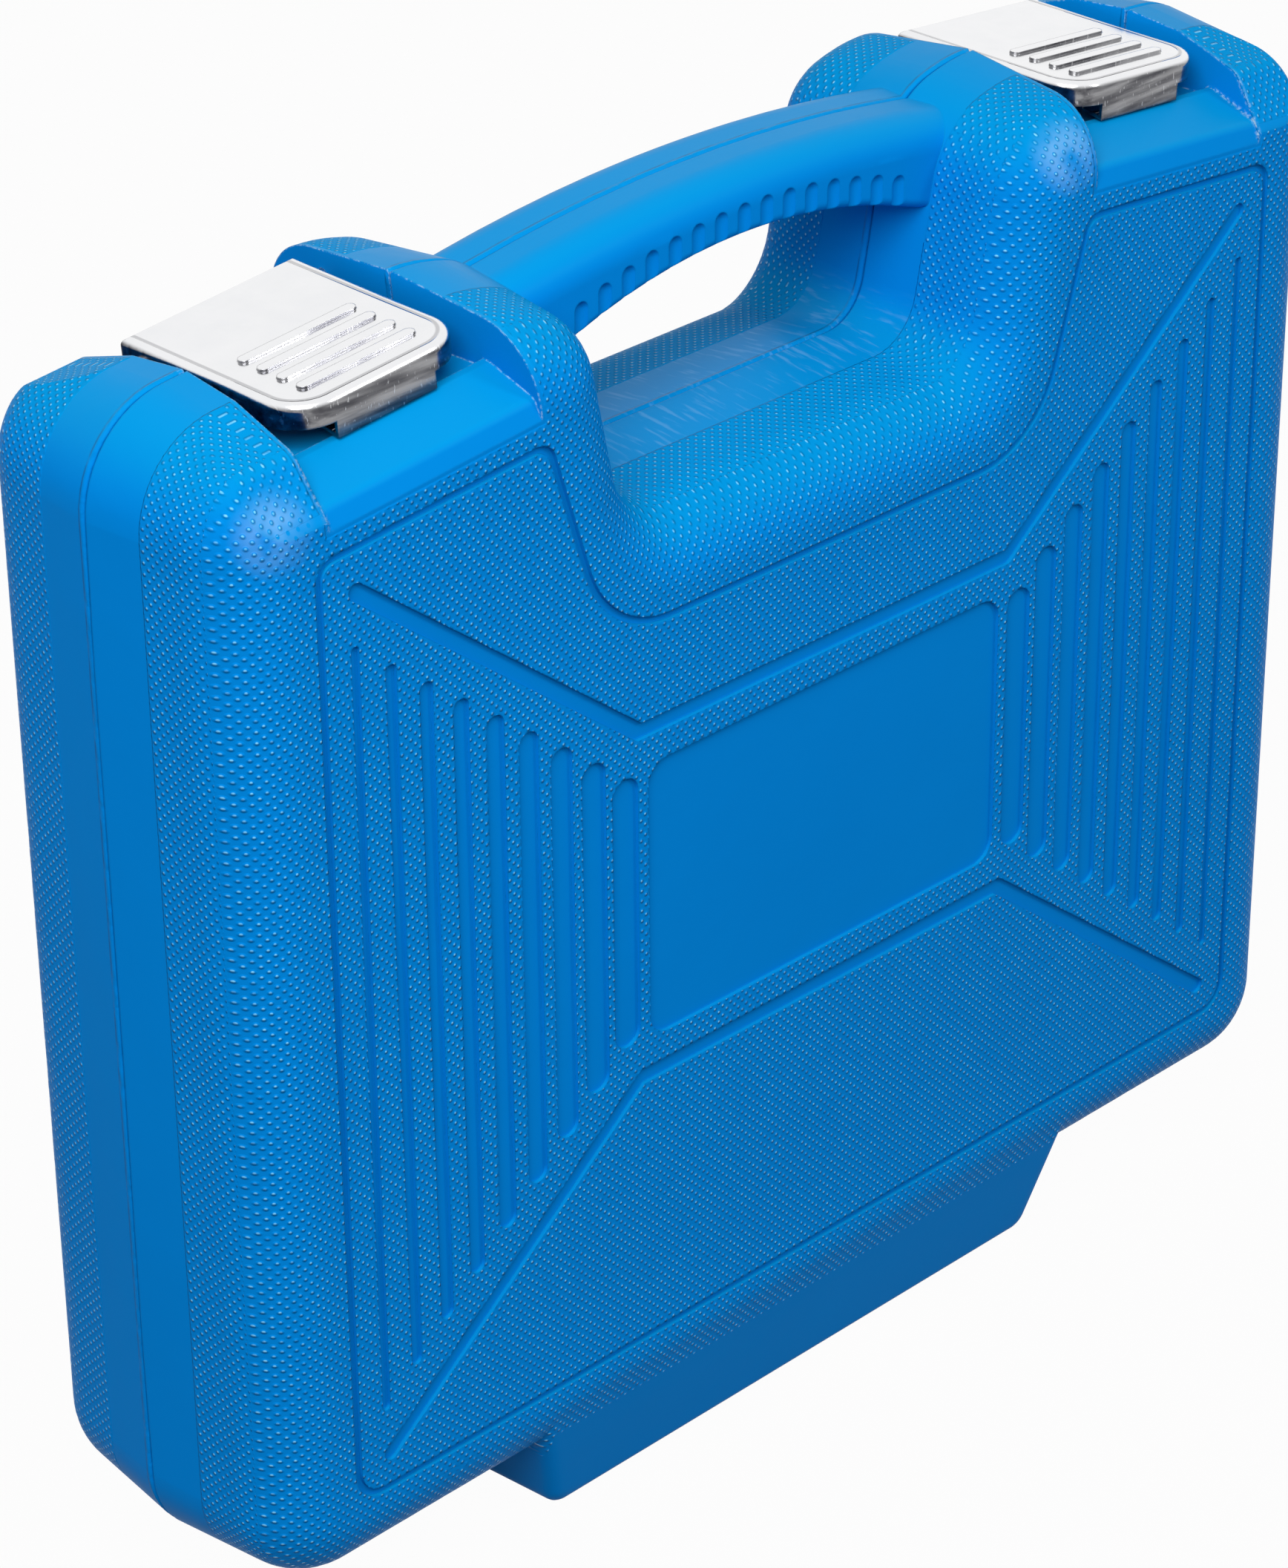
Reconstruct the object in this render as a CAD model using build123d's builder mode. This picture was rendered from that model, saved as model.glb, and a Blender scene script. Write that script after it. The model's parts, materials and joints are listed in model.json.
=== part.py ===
from build123d import *
import os
from math import cos, radians, sin, tan

# Socket wrench set in its case. The case stands on its foot: X is its width, the front half (the lid)
# faces -Y, the rear half (the base, which holds the tools) faces +Y, and Z is up. The two halves meet
# on the plane Y = 0, and the origin is the middle of the foot's underside.

# ---- case body ----
case_half_width = 187.2  # at the parting plane
case_bottom = 18.6
case_ridge = 338.3  # height at which the two sloping top lines would meet
top_slope = 5.0  # degrees
half_depth = 45.3
corner_radius = 25.6
edge_radius = 18.7  # the big rounding of the front and rear edges
draft_angle = 6.0
wall = 2.4
parting_gap = 0.3
parting_chamfer = 0.7

# ---- hand opening and grip ----
opening_bottom = 270.0
opening_half_width = 56.0  # at the opening's bottom
opening_lean = 11.8  # degrees that its sides lean outwards
opening_radius = 13.0
hump_top_x = 92.0  # where each top line starts to fall towards the opening
hump_top_radius = 50.0
hump_side = 324.0  # height at which it turns down into the opening's side
hump_side_radius = 24.0
grip_crown = 329.3
grip_end = 321.7  # height of its top at its ends, inside the humps
grip_end_x = 84.0
grip_under = 313.5
grip_under_shoulder = 306.0
grip_under_shoulder_x = 50.0
grip_root_rise = 4.0  # from its buried ends' underside to the under shoulder
grip_root_reach = 6.0  # of the sloping underside into the opening's side
grip_half_depth = 16.5
grip_top_radius = 9.0
grip_bottom_radius = 2.5
scallop_count = 15
scallop_pitch = 7.63
scallop_radius = 2.3
scallop_depth = 1.5
scallop_height = 8.5

# ---- flats that lower the front edge outside the latches ----
flat_y = 36.0
flat_depth = 7.9  # below the top line, where the two flats meet
flat_top_lean = 18.0  # degrees, behind that line
flat_front_lean = 56.0  # degrees, in front of it
flat_radius = 6.0

# ---- foot ----
foot_half_width = 98.0
foot_end_lean = 16.0  # degrees of its end faces
foot_face_lean = 12.7  # degrees of its front and rear faces
foot_depth = 36.5  # at the underside
foot_radius = 3.5
foot_corner_radius = 6.0
foot_flare = 4.5  # how much narrower each end is at the face
foot_web = 12.0  # solid stretch beside the parting plane that holds the hinge

# ---- pressed pattern of the front and rear faces ----
pattern_depth = 1.1
frame_half_width = 160.0
frame_bottom = 44.8
frame_ridge = 307.4
frame_inner_x = 91.6
frame_dip_x = 73.9
frame_dip = 243.5
frame_groove = 2.0
frame_corner_radius = 8.0
frame_shoulder_radius = 5.0
frame_dip_radius = 28.0
panel_half_width = 61.8
panel_half_height = 37.85
panel_middle = 169.1
panel_radius = 6.5
slot_count = 9
slot_first_x = 150.6
slot_pitch = 10.16
slot_first_half_length = 101.9
slot_step = 8.13  # each slot towards the middle is shorter by this at both ends
slot_first_width = 2.5
slot_width_step = 0.75
ray_width = 4.4
ray_tip_x = 149.5
ray_tip_rise = 114.7
ray_bend_x = 64.5
ray_bend_rise = 47.5

# ---- hinge in the foot ----
hinge_height = 5.0
hinge_pin_radius = 1.6
knuckle_radius = 4.4
knuckle_length = 32.0
knuckle_count = 5
knuckle_gap = 0.4
lid_travel = 120.0  # degrees
bevel_spare = 2.0  # degrees left between the bevels when the lid is fully open
hinge_play = 0.05
press_play = 0.02

# ---- latches ----
latch_x = 127.0
recess_half_width = 30.0  # at the parting plane
recess_flare = 1.9  # how much wider each side is at the face
recess_depth = 16.0  # below the top line, under the latch
recess_mouth_depth = 19.1  # below the top line, where the floor turns down into the face
recess_mouth_y = 43.3
recess_floor_lean = 21.0
recess_front_lean = 68.0
recess_crest_radius = 3.0
catch_y = 28.0
catch_width = 2.0
catch_play = 0.5
plate_half_width = 25.6
plate_front = 31.0
plate_rear = 28.0
plate_recess = 3.1  # how far the plate lies below the top line
plate_corner_radius = 11.0
plate_edge_radius = 1.8
sheet = 1.0
flange_depth = 6.0
hook_half_width = 14.5
hook_depth = 10.25
hook_return = 6.5
hook_rise = 0.8
rib_count = 4
rib_pitch = 6.5
rib_length = 34.0
rib_width = 3.0
rib_height = 0.6
rib_first_y = -22.0
latch_pin_radius = 1.5
latch_pin_y = 24.6
latch_pin_half_length = 33.0
ear_radius = 3.2

# ---- tray and lid liner ----
liner_wall = 1.6
liner_fit = 0.5
liner_setback = 1.0  # of their rims from the parting plane
dish_half_width = 176.0
dish_bottom = 30.0
dish_ridge = 304.0
dish_inner_x = 92.0
dish_dip_x = 80.0
dish_dip = 261.0
dish_radius = 14.0
dish_depth = 21.0
pocket_play = 0.7
seat_play = 0.3
pocket_radius = 2.0
tool_stand = 9.0  # how far the tools stand out of the tray
drive_well = 1.5  # width of the pocket that the ratchet's square turns in, by the square

# ---- half-inch drive ----
drive_square = 12.7
drive_length = 14.5
square_play = 0.2
drive_bore_depth = 16.0

# ---- sockets ----
small_sizes = [10, 11, 12, 13, 14, 15, 17, 19]
large_sizes = [22, 24, 27, 30, 32]
small_row = 112.0
small_pitch = 34.0
large_row = 52.0
large_pitch = 62.0
socket_length = 38.0
drive_end_diameter = 22.0
plug_size = 21
plug_length = 68.0
plug_x = -159.0
plug_row = 112.0

# ---- extension bars ----
bar_radius = 6.2
bar_head_radius = 11.0
bar_head_length = 30.0
bar_neck = 8.0
long_bar_length = 250.0
long_bar_height = 202.0
short_bar_length = 125.0
short_bar_x = 160.0
short_bar_bottom = 112.0

# ---- sliding T-bar ----
tbar_height = 172.0
tbar_length = 250.0
tbar_rod_radius = 7.0
tbar_slider_radius = 12.5
tbar_slider_half = 13.0
tbar_travel = 100.0
tbar_play = 0.06

# ---- ratchet ----
ratchet_height = 236.0
ratchet_head_x = -122.0
ratchet_end_x = 130.0
ratchet_head_radius = 18.0
ratchet_head_front = -2.5
ratchet_head_rear = 18.0
ratchet_axis_y = 7.0
ratchet_shank_radius = 7.0
ratchet_grip_radius = 14.0
ratchet_grip_length = 112.0
ratchet_grip_mouth = 9.5  # radius of its front end
ratchet_grip_shoulder = 12.0
ratchet_grip_swell = 40.0  # length over which it widens to its full radius
ratchet_grip_tail = 16.0  # length over which it rounds off at its end
ratchet_grip_end = 8.0  # radius of its end
head_chamfer = 1.2
tang_step = 1.5  # how much slimmer the tang inside the grip is than the shank
wheel_radius = 11.0
wheel_play = 0.08
neck_radius = 9.0
neck_reach = 25.0  # from the drive axis to the neck's end, where the lever turns
lip_radius = 9.3
lip_thickness = 3.0
cover_radius = 16.0
cover_thickness = 1.6
cover_screw_count = 4
cover_screw_radius = 1.3
cover_screw_head = 2.2
cover_screw_length = 7.0
cover_screw_circle = 13.3
lever_length = 16.0
lever_width = 7.0
lever_thickness = 3.0
lever_stem_radius = 2.5
lever_stem_length = 8.0
lever_turn = 25.0  # degrees to each side of the handle's line
lever_play = 0.06
button_radius = 4.0
button_stand = 3.0
button_travel = 2.5
button_collar = 0.7  # how far the button's wide part reaches into the wheel
button_stem_radius = 2.4
button_play = 0.06
end_play = 0.3  # between faces that turn or slide past each other

# ---- worked out ----
case_shoulder = case_ridge - tan(radians(top_slope)) * case_half_width
opening_lean_run = tan(radians(opening_lean))
hump_top = case_ridge - tan(radians(top_slope)) * hump_top_x
hump_side_x = opening_half_width + (hump_side - opening_bottom) * opening_lean_run
frame_shoulder = frame_ridge - tan(radians(top_slope)) * frame_half_width
frame_inner = frame_ridge - tan(radians(top_slope)) * frame_inner_x
dish_shoulder = dish_ridge - tan(radians(top_slope)) * dish_half_width
dish_inner = dish_ridge - tan(radians(top_slope)) * dish_inner_x
bevel_angle = lid_travel / 2 + bevel_spare
bevel_reach = hinge_height * tan(radians(bevel_angle))
latch_origin = (latch_x, 0, case_ridge - tan(radians(top_slope)) * latch_x)
latch_out = (cos(radians(top_slope)), 0, -sin(radians(top_slope)))
latch_up = (sin(radians(top_slope)), 0, cos(radians(top_slope)))
latch_plan = Plane(origin=latch_origin, x_dir=latch_out, z_dir=latch_up)
latch_side = Plane(origin=latch_origin, x_dir=(0, 1, 0), z_dir=latch_out)
latch_pin_depth = plate_recess + flange_depth
deck = liner_setback


def mirrored_points(points):
    """The right-hand points, then the same points on the left in reverse order."""
    return points + [(-x, z) for x, z in reversed(points)]


def mirrored_radii(radii):
    return radii + list(reversed(radii))


def case_outline(inset=0.0):
    """Outline of a case half at the parting plane, with the hand opening's sides and floor."""
    points = [
        (case_half_width, case_bottom),
        (case_half_width, case_shoulder),
        (hump_top_x, hump_top),
        (hump_side_x, hump_side),
        (opening_half_width, opening_bottom),
    ]
    radii = [corner_radius, corner_radius, hump_top_radius, hump_side_radius, opening_radius]
    with BuildSketch(Plane.XZ) as outline:
        with BuildLine():
            FilletPolyline(*mirrored_points(points), radius=mirrored_radii(radii), close=True)
        make_face()
        if inset > 0:
            offset(amount=-inset)
    return outline.sketch


def shoulder_cut(inset):
    """What the right-hand flats take off the rounded edge, from the latch pocket outwards."""
    front_drop = flat_depth + edge_radius * tan(radians(flat_front_lean))
    with BuildPart() as cut:
        with BuildSketch(latch_side):
            with BuildLine():
                Polyline(
                    (0, flat_y * tan(radians(flat_top_lean)) - flat_depth),
                    (-flat_y, -flat_depth),
                    (-flat_y - edge_radius, -front_drop),
                    (-flat_y - edge_radius, edge_radius),
                    (0, edge_radius),
                    close=True,
                )
            make_face()
            fillet(vertices().sort_by_distance((-flat_y, -flat_depth))[0], radius=flat_radius)
            if inset > 0:
                offset(amount=inset, kind=Kind.INTERSECTION)
        extrude(amount=case_half_width / 2)
    return cut.part


def case_body(inset=0.0):
    """Drafted body of a case half with its big rounded edge; with an inset it is the space inside."""
    right = shoulder_cut(inset)
    with BuildPart() as body:
        extrude(case_outline(inset), amount=half_depth - inset, taper=draft_angle)
        fillet(body.edges().group_by(Axis.Y)[0], radius=edge_radius - inset)
        add(right, mode=Mode.SUBTRACT)
        add(mirror(right, about=Plane.YZ, mode=Mode.PRIVATE), mode=Mode.SUBTRACT)
    return body.part


def latch_recess(spare=0.0):
    """The pocket that the right-hand latch lies in, open at the top and at both faces of the case."""
    floor_run = (recess_mouth_depth - recess_depth) / tan(radians(recess_floor_lean))
    beyond = half_depth - recess_mouth_y + 10
    drop = beyond * tan(radians(recess_front_lean))
    floor_end = catch_y + catch_width
    floor_top = (recess_mouth_y - floor_end) * tan(radians(recess_floor_lean)) - recess_mouth_depth
    catch_top = -(plate_recess + hook_depth + catch_play)
    with BuildPart() as recess:
        with BuildSketch(latch_plan):
            with BuildLine():
                flared = recess_half_width + recess_flare
                far = half_depth + 10
                Polyline(
                    (-recess_half_width, 0),
                    (-flared, -far),
                    (flared, -far),
                    (recess_half_width, 0),
                    (flared, far),
                    (-flared, far),
                    close=True,
                )
            make_face()
            if spare > 0:
                offset(amount=spare, kind=Kind.INTERSECTION)
        extrude(amount=edge_radius + 2 * recess_depth, both=True)
        with BuildSketch(latch_side):
            with BuildLine():
                Polyline(
                    (-recess_mouth_y - beyond, -recess_mouth_depth - drop),
                    (-recess_mouth_y, -recess_mouth_depth),
                    (-floor_end, min(floor_top, catch_top - 0.05)),
                    (-catch_y, catch_top),
                    (-catch_y + catch_width, -recess_depth),
                    (recess_mouth_y - floor_run, -recess_depth),
                    (recess_mouth_y, -recess_mouth_depth),
                    (recess_mouth_y + beyond, -recess_mouth_depth - drop),
                    (recess_mouth_y + beyond, recess_depth * 2),
                    (-recess_mouth_y - beyond, recess_depth * 2),
                    close=True,
                )
            make_face()
            for side in (-1, 1):
                crest = vertices().sort_by_distance((side * recess_mouth_y, -recess_mouth_depth))[0]
                fillet(crest, radius=recess_crest_radius)
            if spare > 0:
                offset(amount=spare, kind=Kind.INTERSECTION)
        extrude(amount=case_half_width / 2, both=True, mode=Mode.INTERSECT)
    return recess.part


def foot_block(inset=0.0):
    """Half of the foot under the case; it reaches up into the case body."""
    top = case_bottom + edge_radius
    lean = tan(radians(foot_face_lean))
    half_width = foot_half_width - inset
    face_foot = inset - foot_depth
    with BuildPart() as foot:
        with BuildSketch(Plane.YZ):
            with BuildLine():
                Polyline(
                    (0, inset),
                    (face_foot - inset * lean, inset),
                    (face_foot - top * lean, top),
                    (0, top),
                    close=True,
                )
            make_face()
        extrude(amount=foot_half_width * 1.5, both=True)
        for side in (-1, 1):
            outwards = (side, -foot_flare / half_depth, -tan(radians(foot_end_lean)))
            end = Plane(origin=(side * half_width, 0, case_bottom), z_dir=outwards)
            split(bisect_by=end, keep=Keep.BOTTOM)
        if inset == 0:
            underside = foot.edges().group_by(Axis.Z)[0]
            fillet(underside.filter_by(lambda edge: abs(edge.center().X) > 1), radius=foot_corner_radius)
            face = foot.faces().sort_by(Axis.Y)[0]
            fillet(face.edges().sort_by(Axis.Z)[:-1], radius=foot_radius)
    return foot.part


def grip_half():
    """Front half of the moulded grip, with finger scallops along its lower front edge."""
    with BuildPart() as grip:
        with BuildSketch(Plane.XZ):
            with BuildLine():
                ThreePointArc((-grip_end_x, grip_end), (0, grip_crown), (grip_end_x, grip_end))
                ThreePointArc(
                    (-grip_under_shoulder_x, grip_under_shoulder),
                    (0, grip_under),
                    (grip_under_shoulder_x, grip_under_shoulder),
                )
                root_z = grip_under_shoulder - grip_root_rise
                root_x = opening_half_width + grip_root_reach
                for side in (-1, 1):
                    Polyline(
                        (side * grip_end_x, grip_end),
                        (side * grip_end_x, root_z),
                        (side * root_x, root_z),
                        (side * grip_under_shoulder_x, grip_under_shoulder),
                    )
            make_face()
        extrude(amount=grip_half_depth)
        front = grip.edges().group_by(Axis.Y)[0].filter_by(lambda edge: abs(edge.center().X) < 1)
        fillet(front.sort_by(Axis.Z)[-1], radius=grip_top_radius)
        front = grip.edges().group_by(Axis.Y)[0].filter_by(lambda edge: abs(edge.center().X) < 1)
        fillet(front.sort_by(Axis.Z)[0], radius=grip_bottom_radius)
        axis_y = scallop_depth - grip_half_depth - scallop_radius
        upright = (Align.CENTER, Align.CENTER, Align.MAX)
        for index in range(scallop_count):
            x = (index - (scallop_count - 1) / 2) * scallop_pitch
            under_z = grip_under - (grip_under - grip_under_shoulder) * (x / grip_under_shoulder_x) ** 2
            with Locations((x, axis_y, under_z + scallop_height - scallop_radius)):
                Sphere(scallop_radius, mode=Mode.SUBTRACT)
                Cylinder(scallop_radius, 2 * scallop_height, align=upright, mode=Mode.SUBTRACT)
    return grip.part


def stroke(points, width):
    """Grooves of one width along a run of points, with round ends and joints."""
    for start, end in zip(points, points[1:]):
        middle = (Vector(start) + Vector(end)) / 2
        SlotCenterPoint(middle, end, width)


def face_pattern():
    """The pressed lines of a case face: frame line, centre panel, upright slots and corner rays."""
    frame = [
        (frame_half_width, frame_bottom),
        (frame_half_width, frame_shoulder),
        (frame_inner_x, frame_inner),
        (frame_dip_x, frame_dip),
    ]
    frame_radii = [frame_corner_radius, frame_shoulder_radius, frame_shoulder_radius, frame_dip_radius]
    with BuildSketch(Plane.XZ.offset(half_depth)) as pattern:
        with BuildLine():
            FilletPolyline(*mirrored_points(frame), radius=mirrored_radii(frame_radii), close=True)
        make_face()
        inner = offset(amount=-frame_groove / 2, mode=Mode.PRIVATE)
        offset(amount=frame_groove / 2)
        add(inner, mode=Mode.SUBTRACT)
        with Locations((0, panel_middle)):
            RectangleRounded(2 * panel_half_width, 2 * panel_half_height, panel_radius)
        for index in range(slot_count):
            length = 2 * (slot_first_half_length - index * slot_step)
            width = slot_first_width + index * slot_width_step
            x = slot_first_x - index * slot_pitch
            with Locations((x, panel_middle), (-x, panel_middle)):
                SlotOverall(length, width, rotation=90)
        for side in (-1, 1):
            tip = panel_middle + side * ray_tip_rise
            bend = panel_middle + side * ray_bend_rise
            line = [(ray_tip_x, tip), (ray_bend_x, bend), (-ray_bend_x, bend), (-ray_tip_x, tip)]
            stroke(line, ray_width)
    return pattern.sketch


def case_half():
    """Front half of the case as a closed block: body, grip and foot with the pressed face pattern."""
    with BuildPart() as half:
        add(case_body())
        add(grip_half())
        add(foot_block())
        extrude(face_pattern(), amount=-pattern_depth, mode=Mode.SUBTRACT)
        split(bisect_by=Plane.XZ.offset(parting_gap / 2), keep=Keep.TOP)
        chamfer(half.edges().group_by(Axis.Y)[-1], length=parting_chamfer)
    return half.part


def case_hollow():
    """The space inside a case half, between its walls; the foot keeps a solid web for the hinge."""
    with BuildPart() as foot_space:
        add(foot_block(wall))
        split(bisect_by=Plane.XZ.offset(foot_web), keep=Keep.TOP)
    with BuildPart() as hollow:
        add(case_body(wall))
        add(foot_space.part)
    return hollow.part


def less_recesses(part, spare):
    """A part with both latch pockets, grown by a spare, taken out of it."""
    right = latch_recess(spare)
    with BuildPart() as cut:
        add(part)
        add(right, mode=Mode.SUBTRACT)
        add(mirror(right, about=Plane.YZ, mode=Mode.PRIVATE), mode=Mode.SUBTRACT)
    return cut.part


def knuckle_starts(first):
    """Left ends of the knuckles of one half: every second place along the hinge."""
    half_run = knuckle_count * knuckle_length / 2
    return [index * knuckle_length - half_run for index in range(first, knuckle_count, 2)]


def barrel(start, length, radius):
    """A round bar along the hinge axis."""
    with BuildPart() as bar:
        with BuildSketch(Plane.YZ.offset(start)):
            with Locations((0, hinge_height)):
                Circle(radius)
        extrude(amount=length)
    return bar.part


def hinged(shell, side, first):
    """Add one half's knuckles, and clear room for the other half's and for the opening lid."""
    run = foot_half_width + 2
    play = hinge_play if side < 0 else press_play
    with BuildPart() as clearing:
        with BuildSketch(Plane.YZ):
            with BuildLine():
                Polyline((0, hinge_height), (side * bevel_reach, 0), (0, 0), close=True)
            make_face()
        extrude(amount=run, both=True)
        for start in knuckle_starts(1 - first):
            add(barrel(start - knuckle_gap / 2, knuckle_length + knuckle_gap, knuckle_radius + knuckle_gap))
    with BuildPart() as knuckles:
        for start in knuckle_starts(first):
            add(barrel(start + knuckle_gap / 2, knuckle_length - knuckle_gap, knuckle_radius))
    with BuildPart() as half:
        add(shell)
        add(clearing.part, mode=Mode.SUBTRACT)
        add(knuckles.part)
        add(barrel(-run, 2 * run, hinge_pin_radius + play), mode=Mode.SUBTRACT)
    return half.part


def latch_cover():
    """Right-hand stamped latch: plate with folded flanges, front hook, pin ears and grip ribs."""
    plate = latch_plan.offset(-plate_recess)
    length = plate_front + plate_rear
    middle = (plate_rear - plate_front) / 2
    with BuildPart() as cover:
        with BuildSketch(plate) as outline:
            with Locations((0, middle)):
                Rectangle(2 * plate_half_width, length)
            front_corners = outline.vertices().group_by(Axis.Y)[0]
            fillet(front_corners, radius=plate_corner_radius)
        extrude(amount=-flange_depth)
        top = cover.faces().sort_by(Axis(latch_origin, latch_up))[-1]
        fillet(top.edges(), radius=plate_edge_radius)
        with BuildSketch(plate.offset(-sheet)) as inside:
            with Locations((0, middle + sheet)):
                Rectangle(2 * (plate_half_width - sheet), length + sheet)
            front_corners = inside.vertices().group_by(Axis.Y)[0]
            fillet(front_corners, radius=plate_corner_radius - sheet)
        extrude(amount=-flange_depth, mode=Mode.SUBTRACT)
        low = -plate_recess - hook_depth
        with BuildSketch(latch_side):
            with BuildLine():
                Polyline(
                    (-plate_front, -plate_recess - flange_depth + sheet),
                    (-plate_front, low),
                    (-plate_front + hook_return, low + hook_rise),
                    (-plate_front + hook_return, low + hook_rise + sheet),
                    (-plate_front + sheet, low + sheet + hook_rise / 4),
                    (-plate_front + sheet, -plate_recess - flange_depth + sheet),
                    close=True,
                )
            make_face()
        extrude(amount=hook_half_width, both=True)
        for side in (-1, 1):
            ear = latch_side.offset(side * (plate_half_width - sheet / 2))
            with BuildSketch(ear):
                with Locations((latch_pin_y, -latch_pin_depth)):
                    Circle(ear_radius)
                with Locations((latch_pin_y, -latch_pin_depth + ear_radius / 2)):
                    Rectangle(2 * ear_radius, ear_radius)
            extrude(amount=sheet / 2, both=True)
        with BuildSketch(latch_side):
            with Locations((latch_pin_y, -latch_pin_depth)):
                Circle(latch_pin_radius + hinge_play)
        extrude(amount=latch_pin_half_length, both=True, mode=Mode.SUBTRACT)
        with BuildSketch(plate):
            for index in range(rib_count):
                with Locations((0, rib_first_y + index * rib_pitch)):
                    SlotOverall(rib_length, rib_width)
        extrude(amount=rib_height)
    return cover.part


def latch_pin(radius):
    with BuildPart() as pin:
        with BuildSketch(latch_side.offset(-latch_pin_half_length)):
            with Locations((latch_pin_y, -latch_pin_depth)):
                Circle(radius)
        extrude(amount=2 * latch_pin_half_length)
    return pin.part


def liner_rim():
    """Flat rim inside a case half, set back from the parting plane and cut round the latch pockets."""
    spare = wall + liner_fit
    with BuildPart() as rim:
        extrude(case_outline(spare), amount=liner_setback + liner_wall)
        split(bisect_by=Plane.XZ.offset(liner_setback), keep=Keep.TOP)
    return less_recesses(rim.part, spare)


def dish(inset):
    """The lid liner's hollow, which stays clear of the latch pockets and the hand opening."""
    points = [
        (dish_half_width, dish_bottom),
        (dish_half_width, dish_shoulder),
        (dish_inner_x, dish_inner),
        (dish_dip_x, dish_dip),
    ]
    radii = [dish_radius, dish_radius / 2, dish_radius / 2, dish_radius]
    with BuildPart() as hollow:
        with BuildSketch(Plane.XZ):
            with BuildLine():
                FilletPolyline(*mirrored_points(points), radius=mirrored_radii(radii), close=True)
            make_face()
            if inset > 0:
                offset(amount=-inset)
        extrude(amount=dish_depth - inset)
    return hollow.part


def pocket(spare, x, z, width, height, depth):
    """A straight-sided pocket in the tray, given by its middle, its size and how deep its floor lies."""
    with BuildPart() as block:
        with BuildSketch(Plane.XZ.offset(-deck)):
            with Locations((x, z)):
                radius = pocket_radius + spare
                RectangleRounded(width + 2 * spare, height + 2 * spare, radius)
        extrude(amount=-(depth - deck + spare))
    return block.part


def mouth_diameter(size):
    return 1.27 * size + 2.6


def drive_diameter(size):
    return max(drive_end_diameter, 0.8 * mouth_diameter(size))


def socket_radius(size):
    return max(mouth_diameter(size), drive_diameter(size)) / 2


def tool_axis(radius):
    """Depth of a tool's axis behind the parting plane when it stands tool_stand out of the tray."""
    return deck + radius - tool_stand


def long_size(size):
    return socket_length + max(0, size - 22)


def socket(size, x, z, length):
    """A socket lying with its mouth upwards: hexagon above, drive square below, one through bore."""
    mouth = mouth_diameter(size) / 2
    drive = drive_diameter(size) / 2
    neck = 0.4 * length
    across = size + square_play
    axis = Plane(origin=(x, tool_axis(socket_radius(size)), z), x_dir=(1, 0, 0), z_dir=(0, 0, 1))
    profile = Plane(origin=axis.origin, x_dir=(1, 0, 0), z_dir=(0, -1, 0))
    with BuildPart() as body:
        with BuildSketch(profile):
            with BuildLine():
                Polyline(
                    (0, 0),
                    (drive - 1, 0),
                    (drive, 1),
                    (drive, neck),
                    (mouth, neck + abs(drive - mouth)),
                    (mouth, length),
                    (0, length),
                    close=True,
                )
            make_face()
        revolve(axis=Axis(axis.origin, (0, 0, 1)))
        with BuildSketch(axis):
            Rectangle(drive_square + square_play, drive_square + square_play)
        extrude(amount=drive_bore_depth, mode=Mode.SUBTRACT)
        with BuildSketch(axis.offset(drive_bore_depth)):
            RegularPolygon(across / 2, 6, major_radius=False)
        extrude(amount=length, mode=Mode.SUBTRACT)
        if across < drive_square:
            with BuildSketch(axis.offset(drive_bore_depth - 2)):
                Circle(0.4 * size)
            extrude(amount=length, mode=Mode.SUBTRACT)
    return body.part


def extension_bar(origin, direction, length):
    """Extension bar: a socketed head, a neck, a slim shank and a drive square at the far end."""
    start = Vector(origin)
    along = Plane(origin=start, x_dir=(0, 1, 0), z_dir=direction)
    profile = Plane(origin=start, x_dir=(0, 1, 0), z_dir=Vector(direction).cross(Vector(0, 1, 0)))
    with BuildPart() as bar:
        with BuildSketch(profile):
            with BuildLine():
                end = length - drive_length
                shoulder = drive_square / 2 * 1.25
                Polyline(
                    (0, 0),
                    (bar_head_radius, 0),
                    (bar_head_radius, -bar_head_length),
                    (bar_radius, -bar_head_length - bar_neck),
                    (bar_radius, -end + bar_neck),
                    (shoulder, -end + bar_neck / 2),
                    (shoulder, -end),
                    (0, -end),
                    close=True,
                )
            make_face()
        revolve(axis=Axis(start, direction))
        with BuildSketch(along.offset(length - drive_length)):
            Rectangle(drive_square, drive_square)
        extrude(amount=drive_length)
        chamfer(bar.faces().sort_by(Axis(start, direction))[-1].edges(), length=1)
        with BuildSketch(along):
            Rectangle(drive_square + square_play, drive_square + square_play)
        extrude(amount=drive_bore_depth, mode=Mode.SUBTRACT)
    return bar.part


def tbar_rod():
    with BuildPart() as rod:
        with BuildSketch(Plane.YZ.offset(-tbar_length / 2)):
            with Locations((tool_axis(tbar_slider_radius), tbar_height)):
                Circle(tbar_rod_radius)
        extrude(amount=tbar_length)
        chamfer(rod.edges().filter_by(GeomType.CIRCLE), length=1)
    return rod.part


def tbar_slider():
    """Sliding head of the T-bar: a round boss across the rod with the drive square behind it."""
    middle = tool_axis(tbar_slider_radius)
    back = middle + tbar_slider_half
    with BuildPart() as slider:
        with BuildSketch(Plane.XZ.offset(-middle + tbar_slider_half)):
            with Locations((0, tbar_height)):
                Circle(tbar_slider_radius)
        extrude(amount=-2 * tbar_slider_half)
        chamfer(slider.edges().filter_by(GeomType.CIRCLE), length=1)
        with BuildSketch(Plane.XZ.offset(-back)):
            with Locations((0, tbar_height)):
                Rectangle(drive_square, drive_square)
        extrude(amount=-drive_length)
        with BuildSketch(Plane.YZ.offset(-2 * tbar_slider_radius)):
            with Locations((middle, tbar_height)):
                Circle(tbar_rod_radius + tbar_play)
        extrude(amount=4 * tbar_slider_radius, mode=Mode.SUBTRACT)
    return slider.part


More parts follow.
